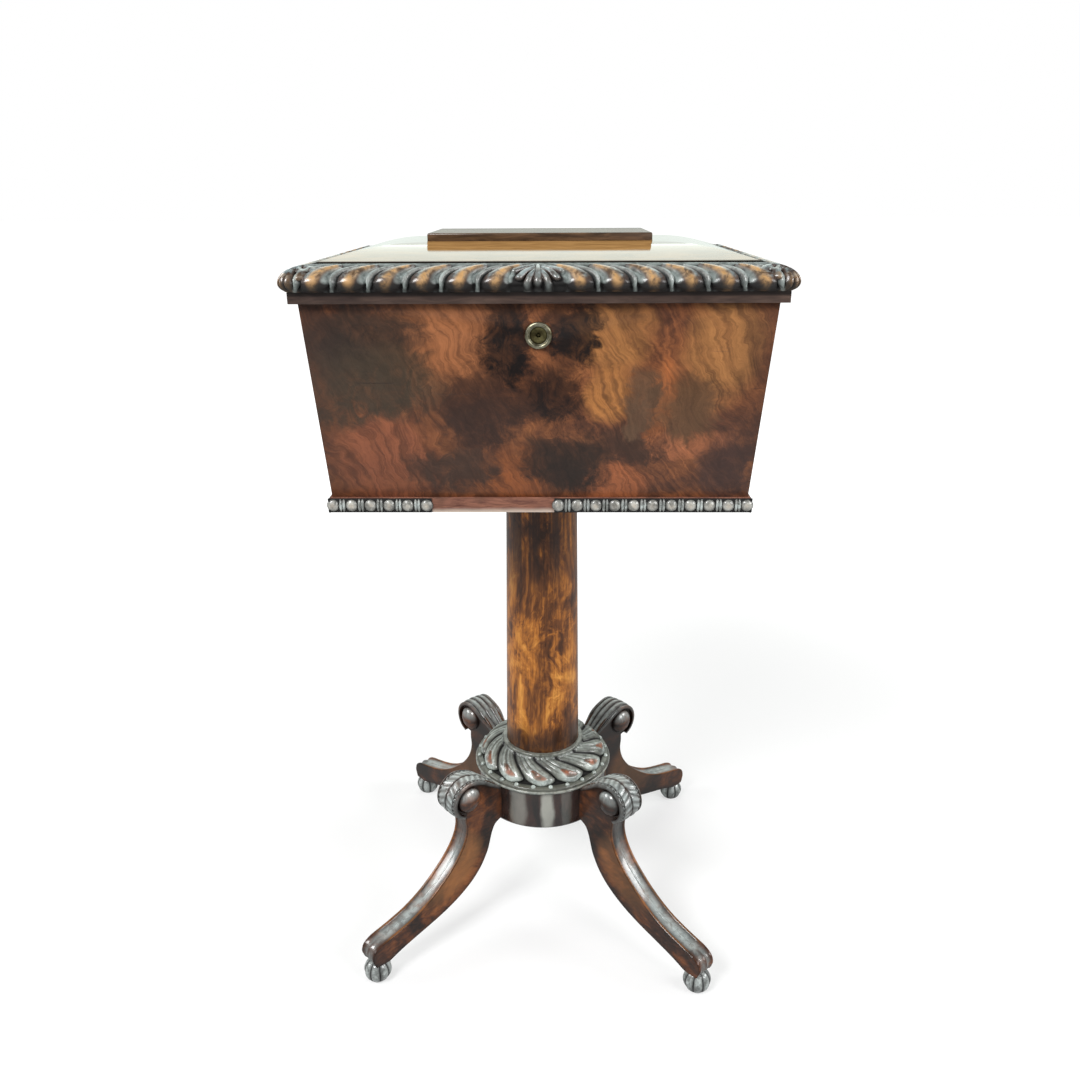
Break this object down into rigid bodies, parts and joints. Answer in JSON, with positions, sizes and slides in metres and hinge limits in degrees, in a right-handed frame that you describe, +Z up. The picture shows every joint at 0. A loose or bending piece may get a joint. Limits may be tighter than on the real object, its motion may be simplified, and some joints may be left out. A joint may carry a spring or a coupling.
{
  "type": "teapoy",
  "caption": "Sarcophagus-shaped lidded tea chest on a turned pillar with four scrolled legs and bun feet, fitted with canisters and glass mixing bowls.",
  "frame": {"origin": "on the floor, under the axis of the pillar and at the centre of the plan", "axes": "+Z up, +X to the right of someone facing the lock, the lock looks towards -Y, the hinges are at +Y"},
  "size_m": [0.45, 0.4028, 0.794],
  "materials": {
    "flame_mahogany": "flame veneer under a worn french polish",
    "polished_mahogany": "dark mahogany, high french polish",
    "carved_mahogany": "carved dark mahogany, waxed, rubbed golden on the high spots",
    "leg_mahogany": "reddish mahogany, polished",
    "bare_wood": "unpolished mahogany",
    "canister_rosewood": "rosewood veneer, satin polish",
    "ebony": "turned ebony, polished",
    "brass": "aged, pale where it is rubbed",
    "iron": "dark iron wood screws",
    "glass": "clear glass",
    "velvet": "crimson velvet"
  },
  "bodies": {
    "stand_and_chest": {"leg_front_left": "leg_mahogany", "leg_front_right": "leg_mahogany", "leg_back_left": "leg_mahogany", "leg_back_right": "leg_mahogany", "foot_front_left": "carved_mahogany", "foot_front_right": "carved_mahogany", "foot_back_left": "carved_mahogany", "foot_back_right": "carved_mahogany", "drum": "polished_mahogany", "base_rim": "polished_mahogany", "carved_collar": "carved_mahogany", "column": "flame_mahogany", "bearer": "bare_wood", "bottom_board": "bare_wood", "carcass_front": "flame_mahogany", "carcass_back": "flame_mahogany", "carcass_left": "flame_mahogany", "carcass_right": "flame_mahogany", "bead_front": "carved_mahogany", "bead_back": "carved_mahogany", "bead_left": "carved_mahogany", "bead_right": "carved_mahogany", "iron_screws": "iron", "brass_screws_box": "brass", "lock_case": "brass", "lock_nozzle": "brass", "hinge_box_leaves": "brass", "hinge_pins": "brass", "partition_left": "bare_wood", "partition_right": "bare_wood", "cross_partitions": "bare_wood", "bowl_deck": "bare_wood"},
    "lid": {"lid_frame": "polished_mahogany", "lid_dome": "polished_mahogany", "lid_tablet": "polished_mahogany", "lid_lining": "velvet", "gadroon_front": "carved_mahogany", "gadroon_back": "carved_mahogany", "gadroon_left": "carved_mahogany", "gadroon_right": "carved_mahogany", "hinge_lid_leaves": "brass", "link_plate": "brass", "brass_screws_lid": "brass"},
    "lock_plug": {"lock_plug": "brass"},
    "lock_bolt": {"lock_bolt": "brass"},
    "canister_front_left": {"canister_front_left": "canister_rosewood"},
    "canister_front_right": {"canister_front_right": "canister_rosewood"},
    "canister_back_left": {"canister_back_left": "canister_rosewood"},
    "canister_back_right": {"canister_back_right": "canister_rosewood"},
    "canister_front_left_lid": {"canister_front_left_lid": "canister_rosewood", "canister_front_left_knob": "ebony"},
    "canister_front_right_lid": {"canister_front_right_lid": "canister_rosewood", "canister_front_right_knob": "ebony"},
    "canister_back_left_lid": {"canister_back_left_lid": "canister_rosewood", "canister_back_left_knob": "ebony"},
    "canister_back_right_lid": {"canister_back_right_lid": "canister_rosewood", "canister_back_right_knob": "ebony"},
    "bowl_front": {"glass_bowl_front": "glass"},
    "bowl_back": {"glass_bowl_back": "glass"}
  },
  "joints": [
    {"name": "lid_hinge", "type": "hinge", "parent": "stand_and_chest", "child": "lid", "pos_m": [0, 0.1653, 0.7401], "axis": [-1, 0, 0], "range_deg": [0, 95]},
    {"name": "lock_plug_turn", "type": "hinge", "parent": "stand_and_chest", "child": "lock_plug", "pos_m": [0, -0.15998, 0.712], "axis": [0, -0.9974, -0.0718], "range_deg": [0, 90]},
    {"name": "lock_bolt_slide", "type": "slide", "parent": "stand_and_chest", "child": "lock_bolt", "axis": [1, 0, 0], "range_m": [0, 0.005]},
    {"name": "canister_front_left_lift", "type": "slide", "parent": "stand_and_chest", "child": "canister_front_left", "axis": [0, 0, 1], "range_m": [0, 0.016]},
    {"name": "canister_front_left_lid_lift", "type": "slide", "parent": "canister_front_left", "child": "canister_front_left_lid", "axis": [0, 0, 1], "range_m": [0, 0.014]},
    {"name": "canister_front_right_lift", "type": "slide", "parent": "stand_and_chest", "child": "canister_front_right", "axis": [0, 0, 1], "range_m": [0, 0.016]},
    {"name": "canister_front_right_lid_lift", "type": "slide", "parent": "canister_front_right", "child": "canister_front_right_lid", "axis": [0, 0, 1], "range_m": [0, 0.014]},
    {"name": "canister_back_left_lift", "type": "slide", "parent": "stand_and_chest", "child": "canister_back_left", "axis": [0, 0, 1], "range_m": [0, 0.016]},
    {"name": "canister_back_left_lid_lift", "type": "slide", "parent": "canister_back_left", "child": "canister_back_left_lid", "axis": [0, 0, 1], "range_m": [0, 0.014]},
    {"name": "canister_back_right_lift", "type": "slide", "parent": "stand_and_chest", "child": "canister_back_right", "axis": [0, 0, 1], "range_m": [0, 0.016]},
    {"name": "canister_back_right_lid_lift", "type": "slide", "parent": "canister_back_right", "child": "canister_back_right_lid", "axis": [0, 0, 1], "range_m": [0, 0.014]},
    {"name": "bowl_front_lift", "type": "slide", "parent": "stand_and_chest", "child": "bowl_front", "axis": [0, 0, 1], "range_m": [0, 0.028]},
    {"name": "bowl_back_lift", "type": "slide", "parent": "stand_and_chest", "child": "bowl_back", "axis": [0, 0, 1], "range_m": [0, 0.028]}
  ],
  "couplings": [
    {"joint": "lock_bolt_slide", "follows": "lock_plug_turn", "m_per_rad": 0.003183}
  ]
}
